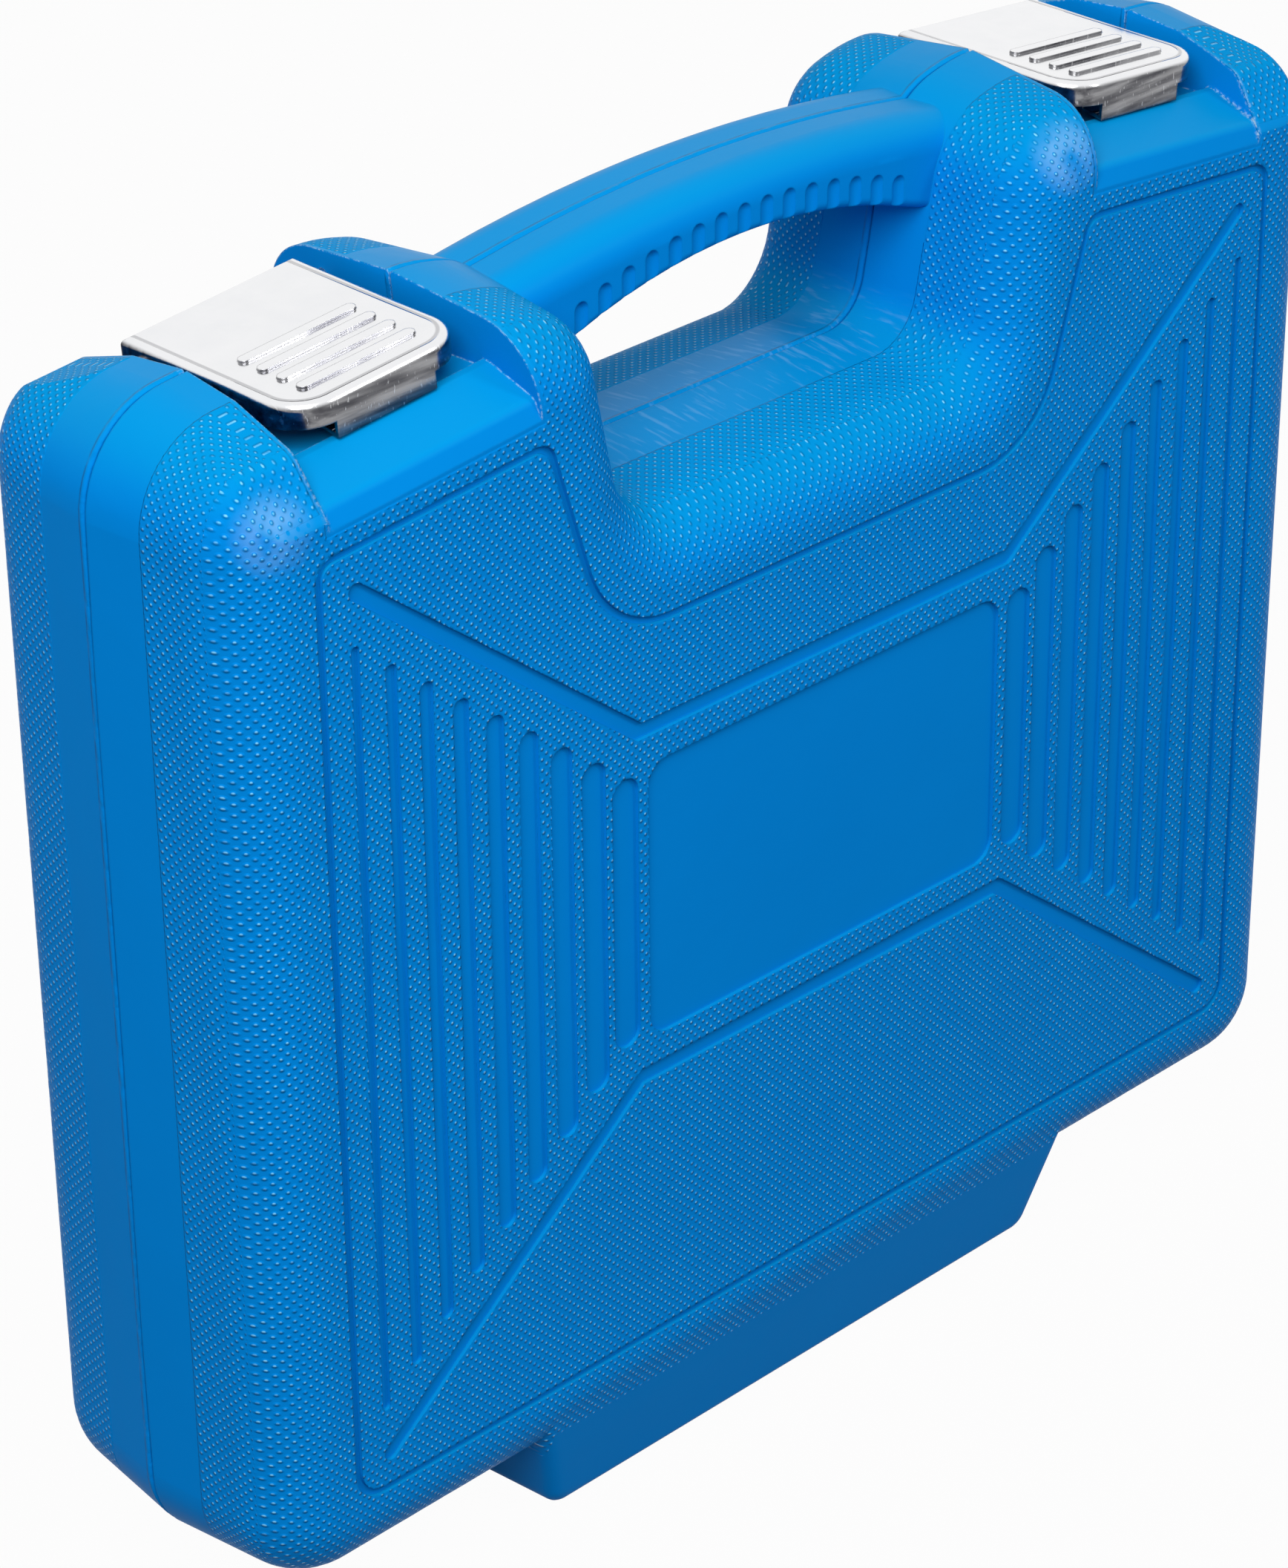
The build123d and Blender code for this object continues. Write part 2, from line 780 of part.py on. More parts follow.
def disc(x, radius, front, rear, z=ratchet_height):
    """A round piece with its axis along Y, between two depths."""
    with BuildPart() as piece:
        with BuildSketch(Plane.XZ.offset(-front)):
            with Locations((x, z)):
                Circle(radius)
        extrude(amount=front - rear)
    return piece.part


def handle_turned(points):
    """A piece turned round the ratchet handle's axis, from (x, radius) points."""
    profile = Plane(origin=(0, ratchet_axis_y, ratchet_height), x_dir=(1, 0, 0), z_dir=(0, -1, 0))
    first, last = points[0][0], points[-1][0]
    with BuildPart() as piece:
        with BuildSketch(profile):
            with BuildLine():
                Polyline((first, 0), *points, (last, 0), close=True)
            make_face()
        revolve(axis=Axis((0, ratchet_axis_y, ratchet_height), (1, 0, 0)))
    return piece.part


def cover_screws(spare=0.0):
    """Countersunk screws of the ratchet's cover plate; with a spare they are the holes for them."""
    origin = (ratchet_head_x, ratchet_head_front, ratchet_height)
    face = Plane(origin=origin, x_dir=(1, 0, 0), z_dir=(0, -1, 0))
    sunk = (Align.CENTER, Align.CENTER, Align.MAX)
    with BuildPart() as screws:
        with Locations(face):
            with PolarLocations(cover_screw_circle, cover_screw_count, start_angle=45):
                Cylinder(cover_screw_radius + spare, cover_screw_length, align=sunk)
                head_depth = cover_screw_head - cover_screw_radius
                Cone(cover_screw_radius + spare, cover_screw_head + spare, head_depth, align=sunk)
    return screws.part


def write(part, name):
    part.label = name
    export_step(part, f"parts/{name}.step")


os.makedirs("parts", exist_ok=True)

# ---- case shells ----
half = case_half()
hollow = case_hollow()

with BuildPart() as front_block:
    add(half)
    add(less_recesses(hollow, wall), mode=Mode.SUBTRACT)
front_shell = hinged(less_recesses(front_block.part, 0), -1, 1)
write(front_shell, "front_shell")

pin_hole = latch_pin(latch_pin_radius + press_play)
with BuildPart() as rear_block:
    add(mirror(half, about=Plane.XZ))
    add(less_recesses(mirror(hollow, about=Plane.XZ, mode=Mode.PRIVATE), wall), mode=Mode.SUBTRACT)
    add(pin_hole, mode=Mode.SUBTRACT)
    add(mirror(pin_hole, about=Plane.YZ, mode=Mode.PRIVATE), mode=Mode.SUBTRACT)
rear_shell = hinged(less_recesses(rear_block.part, 0), 1, 0)
write(rear_shell, "rear_shell")

pin_run = knuckle_count * knuckle_length - 2 * knuckle_gap
write(barrel(-pin_run / 2, pin_run, hinge_pin_radius), "hinge_pin")

# ---- latches ----
cover = latch_cover()
pin = latch_pin(latch_pin_radius)
write(cover, "latch_right")
write(pin, "latch_right_pin")
write(mirror(cover, about=Plane.YZ), "latch_left")
write(mirror(pin, about=Plane.YZ), "latch_left_pin")

# ---- lid liner ----
with BuildPart() as dish_block:
    add(dish(0))
    split(bisect_by=Plane.XZ.offset(liner_setback), keep=Keep.TOP)
with BuildPart() as lid_liner:
    add(liner_rim())
    add(dish_block.part)
    add(dish(liner_wall), mode=Mode.SUBTRACT)
write(lid_liner.part, "lid_liner")

# ---- tool tray ----
small_places = [
    (size, (index - (len(small_sizes) - 1) / 2) * small_pitch, small_row, socket_length)
    for index, size in enumerate(small_sizes)
]
large_places = [
    (size, (index - (len(large_sizes) - 1) / 2) * large_pitch, large_row, long_size(size))
    for index, size in enumerate(large_sizes)
]
socket_places = small_places + large_places + [(plug_size, plug_x, plug_row, plug_length)]

pockets = []
for size, x, z, length in socket_places:
    radius = socket_radius(size)
    width = 2 * (radius + pocket_play)
    depth = tool_axis(radius) + radius + seat_play
    pockets.append((x, z + length / 2, width, length + 2 * pocket_play, depth))
bar_axis = tool_axis(bar_head_radius)
bar_depth = bar_axis + bar_head_radius + seat_play
bar_room = 2 * (bar_head_radius + pocket_play)
pockets.append((0, long_bar_height, long_bar_length + 2 * pocket_play, bar_room, bar_depth))
short_middle = short_bar_bottom + short_bar_length / 2
pockets.append((short_bar_x, short_middle, bar_room, short_bar_length + 2 * pocket_play, bar_depth))
slide_room = 2 * (tbar_travel + tbar_slider_radius + pocket_play)
slider_depth = tool_axis(tbar_slider_radius) + tbar_slider_half + drive_length + seat_play
rod_depth = tool_axis(tbar_slider_radius) + tbar_rod_radius + seat_play
pockets.append((0, tbar_height, slide_room, 2 * (tbar_slider_radius + pocket_play), slider_depth))
rod_room = 2 * (tbar_rod_radius + pocket_play)
pockets.append((0, tbar_height, tbar_length + 2 * pocket_play, rod_room, rod_depth))
head_left = ratchet_head_x - ratchet_head_radius - pocket_play
head_right = ratchet_head_x + neck_reach + neck_radius + pocket_play
head_room = 2 * (ratchet_head_radius + pocket_play)
drive_tip = ratchet_head_rear + end_play + drive_length
head_depth = ratchet_head_rear + seat_play
pockets.append(
    ((head_left + head_right) / 2, ratchet_height, head_right - head_left, head_room, head_depth)
)
well = drive_square * drive_well + 2 * pocket_play
pockets.append((ratchet_head_x, ratchet_height, well, well, drive_tip + seat_play))
grip_right = ratchet_end_x + pocket_play
grip_room = 2 * (ratchet_grip_radius + pocket_play)
grip_depth = ratchet_axis_y + ratchet_grip_radius + seat_play
pockets.append(
    ((head_right + grip_right) / 2, ratchet_height, grip_right - head_right + 2, grip_room, grip_depth)
)

with BuildPart() as tool_tray:
    add(mirror(liner_rim(), about=Plane.XZ))
    for place in pockets:
        add(pocket(liner_wall, *place))
    for place in pockets:
        add(pocket(0, *place), mode=Mode.SUBTRACT)
write(tool_tray.part, "tool_tray")

# ---- sockets, bars and T-bar ----
for size, x, z, length in small_places + large_places:
    write(socket(size, x, z, length), f"socket_{size}")
write(socket(plug_size, plug_x, plug_row, plug_length), "spark_plug_socket")
long_start = (-long_bar_length / 2, bar_axis, long_bar_height)
write(extension_bar(long_start, (1, 0, 0), long_bar_length), "extension_bar_long")
short_start = (short_bar_x, bar_axis, short_bar_bottom)
write(extension_bar(short_start, (0, 0, 1), short_bar_length), "extension_bar_short")
write(tbar_rod(), "tbar_rod")
write(tbar_slider(), "tbar_slider")

# ---- ratchet ----
wheel_front = ratchet_head_front + cover_thickness + end_play
button_foot = wheel_front + button_collar
button_floor = button_foot + button_travel + end_play
lip_front = ratchet_head_rear - lip_thickness
lever_x = ratchet_head_x + neck_reach
lever_rear = ratchet_head_front - end_play
grip_start = ratchet_end_x - ratchet_grip_length
tang_radius = ratchet_shank_radius - tang_step
tang_end = ratchet_end_x - ratchet_grip_length / 3

with BuildPart() as ratchet_body:
    with BuildSketch(Plane.XZ.offset(-ratchet_head_rear)):
        with Locations((ratchet_head_x, ratchet_height)):
            Circle(ratchet_head_radius)
        with Locations((lever_x, ratchet_height)):
            Circle(neck_radius)
        make_hull()
    extrude(amount=ratchet_head_rear - ratchet_head_front)
    rims = ratchet_body.edges().group_by(Axis.Y)
    chamfer(rims[0] + rims[-1], length=head_chamfer)
    add(handle_turned([(lever_x, ratchet_shank_radius), (grip_start, ratchet_shank_radius)]))
    add(handle_turned([(grip_start, tang_radius), (tang_end, tang_radius)]))
    bore = wheel_radius + wheel_play
    lip_bore = lip_radius + wheel_play
    cover_seat = cover_radius + press_play
    seat_rear = ratchet_head_front + cover_thickness
    add(disc(ratchet_head_x, bore, ratchet_head_front, lip_front), mode=Mode.SUBTRACT)
    add(disc(ratchet_head_x, lip_bore, lip_front, ratchet_head_rear), mode=Mode.SUBTRACT)
    add(disc(ratchet_head_x, cover_seat, ratchet_head_front, seat_rear), mode=Mode.SUBTRACT)
    stem_hole = lever_stem_radius + lever_play
    stem_rear = ratchet_head_front + lever_stem_length
    add(disc(lever_x, stem_hole, ratchet_head_front, stem_rear), mode=Mode.SUBTRACT)
    add(cover_screws(press_play), mode=Mode.SUBTRACT)
write(ratchet_body.part, "ratchet_body")

button_hole = button_radius + button_play
with BuildPart() as ratchet_cover:
    add(disc(ratchet_head_x, cover_radius, ratchet_head_front, seat_rear))
    add(disc(ratchet_head_x, button_hole, ratchet_head_front, seat_rear), mode=Mode.SUBTRACT)
    add(cover_screws(press_play), mode=Mode.SUBTRACT)
write(ratchet_cover.part, "ratchet_cover")
write(cover_screws(), "ratchet_cover_screws")

with BuildPart() as ratchet_grip:
    grip_points = [
        (grip_start, ratchet_grip_mouth),
        (grip_start + ratchet_grip_tail / 4, ratchet_grip_shoulder),
        (grip_start + ratchet_grip_swell, ratchet_grip_radius),
        (ratchet_end_x - ratchet_grip_tail, ratchet_grip_radius),
        (ratchet_end_x - ratchet_grip_tail / 4, ratchet_grip_shoulder),
        (ratchet_end_x, ratchet_grip_end),
    ]
    add(handle_turned(grip_points))
    tang_room = tang_radius + press_play
    add(handle_turned([(grip_start, tang_room), (tang_end, tang_room)]), mode=Mode.SUBTRACT)
write(ratchet_grip.part, "ratchet_grip")

with BuildPart() as ratchet_drive:
    add(disc(ratchet_head_x, wheel_radius, wheel_front, lip_front - end_play))
    add(disc(ratchet_head_x, lip_radius, wheel_front, ratchet_head_rear + end_play))
    with BuildSketch(Plane.XZ.offset(-drive_tip)):
        with Locations((ratchet_head_x, ratchet_height)):
            Rectangle(drive_square, drive_square)
    extrude(amount=drive_length)
    add(disc(ratchet_head_x, button_radius + button_play, wheel_front, button_floor), mode=Mode.SUBTRACT)
    add(disc(ratchet_head_x, button_stem_radius + button_play, wheel_front, drive_tip), mode=Mode.SUBTRACT)
write(ratchet_drive.part, "ratchet_drive")

with BuildPart() as ratchet_button:
    add(disc(ratchet_head_x, button_radius, ratchet_head_front - button_stand, button_foot))
    add(disc(ratchet_head_x, button_stem_radius, button_foot, drive_tip - button_travel - end_play))
write(ratchet_button.part, "ratchet_button")

with BuildPart() as ratchet_lever:
    with BuildSketch(Plane.XZ.offset(-lever_rear)):
        tip_x = lever_x + lever_length * cos(radians(lever_turn))
        tip_z = ratchet_height + lever_length * sin(radians(lever_turn))
        middle = ((lever_x + tip_x) / 2, (ratchet_height + tip_z) / 2)
        SlotCenterPoint(middle, (tip_x, tip_z), lever_width)
    extrude(amount=lever_thickness)
    add(disc(lever_x, lever_stem_radius, lever_rear, stem_rear - end_play))
write(ratchet_lever.part, "ratchet_lever")
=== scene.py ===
import json
from math import cos, pi, radians, sin, tan

import bpy
from mathutils import Matrix, Vector

# The socket wrench set in its case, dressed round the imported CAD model. Objects are in metres; the
# materials work in millimetres, from each piece's own coordinates.

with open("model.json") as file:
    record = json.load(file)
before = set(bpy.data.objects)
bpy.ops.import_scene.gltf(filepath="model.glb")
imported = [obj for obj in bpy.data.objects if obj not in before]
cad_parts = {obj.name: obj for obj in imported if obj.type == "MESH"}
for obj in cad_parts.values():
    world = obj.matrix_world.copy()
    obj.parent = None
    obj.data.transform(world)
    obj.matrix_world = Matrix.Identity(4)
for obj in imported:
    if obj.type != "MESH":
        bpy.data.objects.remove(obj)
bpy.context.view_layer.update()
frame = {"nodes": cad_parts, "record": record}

# ---- sizes of the case that its moulded grain follows, in millimetres ----
HALF_WIDTH = 187.2
CASE_BOTTOM = 18.6
CASE_RIDGE = 338.3
TOP_SLOPE = radians(5)
CORNER_RADIUS = 25.6
FACE_DEPTH = 45.3
PATTERN_DEPTH = 1.1
SMOOTH_BAND = 16.8
GRAIN_CREASE = 34.0
GRAIN_STEP = 1.368
GRAIN_RADIUS = 0.8
GRAIN_HEIGHT = 0.36
LATCH_X = 127.0
RECESS_HALF_WIDTH = 30.0
RECESS_FLARE = 0.0344
RECESS_DEPTH = 16.0
RECESS_BREAK = 35.3
RECESS_FALL = 0.384
RECESS_CREST = 43.3
RECESS_DROP = 2.09
FLAT_CORNER = (170, 41, 306)
FLAT_CORNER_REACH = 24
FLAT_CORNER_SOFTNESS = 2.2
FOOT_CORNER = (95, 42, 12)
FOOT_CORNER_REACH = 26
FOOT_CORNER_SOFTNESS = 4.0
EDGE_SOFTNESS = 0.7
WORN_PLACES = ((-169, 40, 303), (86, 41, 316))
WORN_REACH = 11
LATCH_HALF_WIDTH = 25.6
LATCH_FRONT = 31.0
LATCH_CORNER = 11.0
LATCH_LINE_INSET = 2.6
NOTCH_HALF_WIDTH = 72.0
NOTCH_BOTTOM = 262.0
FOOT_HALF_WIDTH = 98.0
FOOT_TOP = 28.6
FOOT_FLARE = 0.1
GRIP_HALF_WIDTH = 77.0
GRIP_HALF_DEPTH = 17.0
GRIP_UNDER = 313.0
GRIP_UNDER_FALL = 0.003  # of the arch under it, by the square of the distance from its middle
GRIP_UNDER_SPARE = 8.0
FLAT_FACING = 0.9975  # how squarely a flat surface faces the front or rear
STEEP_FACING = 0.85

# ---- camera ----
CAMERA_PLACE = Vector((-0.76634, -0.76223, 0.75869))
CAMERA_AZIMUTH = radians(44.4435)
CAMERA_ELEVATION = radians(28.987)
CAMERA_ROLL = radians(-0.573)
CAMERA_LENS = 112.31
CAMERA_SENSOR = 36.0

# ---- studio, in metres ----
FLOOR_HALF_WIDTH = 6.0
FLOOR_DROP = 0.0002
FLOOR_GREY = 0.20
FLOOR_CLEARNESS = 0.97
WORLD_LIGHT = 0.4
LAMP_AIM = (0, 0, 0.2)
SOFTBOXES = (
    ("overhead", (-0.8, -0.65, 1.25), 0.9, 22),
    ("key", (1.1, -1.7, 1.5), 0.5, 12),
)

MM = 1000.0  # millimetres in a metre


class Field:
    """A number worked out at each point of a surface by a chain of maths nodes."""

    def __init__(self, tree, socket):
        self.tree = tree
        self.socket = socket

    def maths(self, operation, *others):
        node = self.tree.nodes.new("ShaderNodeMath")
        node.operation = operation
        for place, value in enumerate((self, *others)):
            if isinstance(value, Field):
                self.tree.links.new(value.socket, node.inputs[place])
            else:
                node.inputs[place].default_value = value
        return Field(self.tree, node.outputs[0])

    def __add__(self, other):
        return self.maths("ADD", other)

    def __sub__(self, other):
        return self.maths("SUBTRACT", other)

    def __mul__(self, other):
        return self.maths("MULTIPLY", other)

    def __abs__(self):
        return self.maths("ABSOLUTE")

    def less(self, other):
        return self.maths("LESS_THAN", other)

    def more(self, other):
        return self.maths("GREATER_THAN", other)

    def least(self, other):
        return self.maths("MINIMUM", other)

    def most(self, other):
        return self.maths("MAXIMUM", other)

    def between(self, low, high):
        return self.most(low).least(high)

    def turned(self):
        """One minus the value."""
        return self * -1 + 1

    def rise(self, start, end):
        """A smooth step from 0 at start to 1 at end."""
        node = self.tree.nodes.new("ShaderNodeMapRange")
        node.interpolation_type = "SMOOTHSTEP"
        self.tree.links.new(self.socket, node.inputs["Value"])
        node.inputs["From Min"].default_value = start
        node.inputs["From Max"].default_value = end
        return Field(self.tree, node.outputs["Result"])


class Finish:
    """A node material being put together: its coordinates, noises and one Principled shader."""

    def __init__(self, name):
        self.material = bpy.data.materials.new(name)
        self.material.use_nodes = True
        self.tree = self.material.node_tree
        self.shader = self.tree.nodes["Principled BSDF"]
        self.place = self.tree.nodes.new("ShaderNodeTexCoord")

    def link(self, source, target):
        self.tree.links.new(source.socket if isinstance(source, Field) else source, target)

    def parts(self, vector, scale=1.0):
        """The three parts of a vector as fields."""
        split = self.tree.nodes.new("ShaderNodeSeparateXYZ")
        self.link(vector, split.inputs[0])
        return [Field(self.tree, output) * scale for output in split.outputs]

    def position(self):
        return self.parts(self.place.outputs["Object"], MM)

    def facing(self):
        return self.parts(self.place.outputs["Normal"])

    def noise(self, size, detail=2.0, roughness=0.5, stretch=(1, 1, 1)):
        """Noise from 0 to 1 whose blotches are about size millimetres across."""
        scaled = self.tree.nodes.new("ShaderNodeMapping")
        scaled.inputs["Scale"].default_value = [part * MM / size for part in stretch]
        self.link(self.place.outputs["Object"], scaled.inputs["Vector"])
        node = self.tree.nodes.new("ShaderNodeTexNoise")
        node.inputs["Scale"].default_value = 1.0
        node.inputs["Detail"].default_value = detail
        node.inputs["Roughness"].default_value = roughness
        self.link(scaled.outputs[0], node.inputs["Vector"])
        return Field(self.tree, node.outputs[0])

    def mix(self, share, first, second):
        """A colour between two colours or sockets."""
        node = self.tree.nodes.new("ShaderNodeMix")
        node.data_type = "RGBA"
        self.link(share, node.inputs["Factor"])
        for name, value in (("A", first), ("B", second)):
            socket = [s for s in node.inputs if s.name == name and s.type == "RGBA"][0]
            if isinstance(value, tuple):
                socket.default_value = (*value, 1)
            else:
                self.link(value, socket)
        return [s for s in node.outputs if s.type == "RGBA"][0]

    def rounded(self, radius):
        """Shading normal with every sharp edge softened to a radius in millimetres."""
        bevel = self.tree.nodes.new("ShaderNodeBevel")
        bevel.samples = 4
        if isinstance(radius, Field):
            self.link(radius * (1 / MM), bevel.inputs["Radius"])
        else:
            bevel.inputs["Radius"].default_value = radius / MM
        return bevel.outputs["Normal"]

    def edges(self, rounded):
        """How strongly the softened normal leaves the surface's own: 0 on plain faces."""
        geometry = self.tree.nodes.new("ShaderNodeNewGeometry")
        product = self.tree.nodes.new("ShaderNodeVectorMath")
        product.operation = "DOT_PRODUCT"
        self.link(rounded, product.inputs[0])
        self.link(geometry.outputs["True Normal"], product.inputs[1])
        return Field(self.tree, product.outputs["Value"]).turned()

    def bump(self, height, normal=None):
        """Raises the surface by a height field in millimetres."""
        node = self.tree.nodes.new("ShaderNodeBump")
        node.inputs["Distance"].default_value = 1 / MM
        self.link(height, node.inputs["Height"])
        if normal is not None:
            self.link(normal, node.inputs["Normal"])
        self.link(node.outputs["Normal"], self.shader.inputs["Normal"])

    def set(self, **values):
        for name, value in values.items():
            socket = self.shader.inputs[name.replace("_", " ")]
            if isinstance(value, (Field, bpy.types.NodeSocket)):
                self.link(value, socket)
            else:
                socket.default_value = (*value, 1) if isinstance(value, tuple) else value


def outline_run(across, height, x):
    """Distance along the case's outline, so that the grain wraps round its corners."""
    centre_x = HALF_WIDTH - CORNER_RADIUS
    upper = CASE_RIDGE - tan(TOP_SLOPE) * centre_x - CORNER_RADIUS / cos(TOP_SLOPE)
    lower = CASE_BOTTOM + CORNER_RADIUS
    beyond = (across - centre_x).most(0.001)
    upper_turn = (height - upper).maths("ARCTAN2", beyond).between(0, pi / 2 - TOP_SLOPE)
    lower_turn = (height * -1 + lower).maths("ARCTAN2", beyond).between(0, pi / 2)
    inwards = (across * -1 + centre_x).most(0)
    along_top = inwards * height.more(upper)
    along_bottom = inwards * height.less(lower)
    return height.between(lower, upper) + (upper_turn - lower_turn) * CORNER_RADIUS + along_top - along_bottom


def grain_dots(u, v):
    """Raised dots on a staggered lattice: 1 at the middle of each dot, 0 between them."""
    first = (u + v) * (0.5 / GRAIN_STEP)
    second = (u - v) * (0.5 / GRAIN_STEP)
    off_first = first - first.maths("ROUND")
    off_second = second - second.maths("ROUND")
    span = (off_first * off_first + off_second * off_second).maths("SQRT") * (GRAIN_STEP * 2 ** 0.5)
    return (span * (1 / GRAIN_RADIUS)).rise(1.0, 0.0)


def near(x, y, z, place, radius):
    """1 at a place, falling to 0 at a radius from it."""
    parts = [(part - centre) * (part - centre) for part, centre in zip((x, y, z), place)]
    return (parts[0] + parts[1] + parts[2]).maths("SQRT").rise(radius, radius * 0.3)


def in_grip(across, depth, height):
    """1 on the smooth grip, 0 elsewhere."""
    under = across * across * -GRIP_UNDER_FALL + GRIP_UNDER
    beside = across.less(GRIP_HALF_WIDTH) * depth.less(GRIP_HALF_DEPTH)
    return beside * (height - under).more(-GRIP_UNDER_SPARE)


def case_plastic():
    """Blue polyethylene with the moulded grain, smooth bands, edge whitening and worn dots, with a painted
    sheen on upward faces and painted highlights on the dot tips.
    """
    finish = Finish("case_plastic")
    x, y, z = finish.position()
    normal_x, normal_y, normal_z = finish.facing()
    across, depth = abs(x), abs(y)

    in_notch = across.less(NOTCH_HALF_WIDTH) * z.more(NOTCH_BOTTOM)
    upright = abs(normal_x).more(abs(normal_z))
    notch_run = z * upright + x * upright.turned()
    side_run = outline_run(across, z, x) * in_notch.turned() + notch_run * in_notch
    on_face = depth.more(GRAIN_CREASE)
    dots = grain_dots(x, z) * on_face + grain_dots(side_run, depth) * on_face.turned()

    rise_z = CASE_RIDGE - tan(TOP_SLOPE) * LATCH_X
    recess_x = abs((across - LATCH_X) * cos(TOP_SLOPE) - (z - rise_z) * sin(TOP_SLOPE))
    recess_z = (across - LATCH_X) * sin(TOP_SLOPE) + (z - rise_z) * cos(TOP_SLOPE)
    recess_side = recess_x - depth * RECESS_FLARE - RECESS_HALF_WIDTH
    fall = (depth - RECESS_BREAK).most(0) * RECESS_FALL + (depth - RECESS_CREST).most(0) * RECESS_DROP
    above_floor = recess_z + fall + RECESS_DEPTH
    recess = recess_side.rise(1.5, 0.9) * above_floor.rise(-1.6, -0.9)

    foot_side = across + depth * FOOT_FLARE
    foot = z.less(FOOT_TOP) * foot_side.less(FOOT_HALF_WIDTH + 0.5)
    flat = abs(normal_y).more(FLAT_FACING)
    steep = abs(normal_y).less(STEEP_FACING)
    pressed = depth.more(FACE_DEPTH - PATTERN_DEPTH - 0.3) * depth.less(FACE_DEPTH - 0.05) * flat.most(steep)
    band = depth.rise(SMOOTH_BAND + 0.2, SMOOTH_BAND - 0.2)
    smooth = band.most(recess).most(foot).most(pressed)
    grained = smooth.turned()
    grip = in_grip(across, depth, z)
    grained = grained * grip.turned()

    corner = near(across, depth, z, FLAT_CORNER, FLAT_CORNER_REACH)
    foot_corner = near(across, depth, z, FOOT_CORNER, FOOT_CORNER_REACH)
    softness = corner * FLAT_CORNER_SOFTNESS + foot_corner * FOOT_CORNER_SOFTNESS + EDGE_SOFTNESS
    rounded = finish.rounded(softness)
    ripple = finish.noise(2.2) * 0.016 + finish.noise(14.0) * 0.12
    bead = y.rise(-0.1, 0.2) * y.rise(1.9, 1.2) * finish.noise(5.0, detail=3).rise(0.2, 0.6)
    finish.bump((dots * GRAIN_HEIGHT + 0.22) * grained + ripple + bead * 0.3, rounded)

    edge = finish.edges(rounded)
    speckle = finish.noise(0.9, detail=4).rise(0.42, 0.62)
    at_recess = recess_side.rise(1.8, 1.0) * above_floor.rise(-2.0, -1.2)
    stress = edge.rise(0.05, 0.2) * speckle * at_recess
    shoulder, hump = (near(x, depth, z, place, WORN_REACH) for place in WORN_PLACES)
    wear = shoulder.most(hump)
    worn = wear * finish.noise(9.0).rise(0.25, 0.65) * dots.rise(0.55, 0.15)
    scrape = finish.noise(1.6, detail=4, stretch=(1, 0.12, 1)).rise(0.52, 0.72)
    upward = normal_z.rise(0.2, 0.9)
    rubbed = scrape * in_notch * band * upward * grip.turned()
    white = (stress * 0.75).most(worn * 0.24).most(rubbed * 0.12)
    cloud = finish.noise(60.0, detail=3)
    blue = finish.mix(cloud, (0.0005, 0.190, 0.585), (0.0006, 0.208, 0.625))
    # Painted sheen: upward faces take a lighter, more cyan copy of the blue, standing in for the light
    # falling on them.
    painted_top_sheen = finish.mix(cloud, (0.0006, 0.228, 0.540), (0.0008, 0.246, 0.580))
    blue = finish.mix(upward, blue, painted_top_sheen)
    # Painted highlight: the dot tips are mixed toward a light cyan, standing in for the glint of light on
    # each dot.
    tip = (dots * grained).rise(0.55, 0.95)
    blue = finish.mix(tip * finish.noise(4.0).rise(0.2, 0.8) * 0.75, blue, (0.24, 0.68, 0.95))
    finish.set(
        Base_Color=finish.mix(white, blue, (0.45, 0.70, 0.92)),
        Roughness=finish.noise(7.0, detail=3) * 0.08 + 0.34 - tip * 0.12,
        Specular_IOR_Level=(tip * 0.40).most(upward * grained.turned() * 0.05) + 0.008,
        Specular_Tint=(0.15, 0.85, 1.0),
    )
    return finish.material


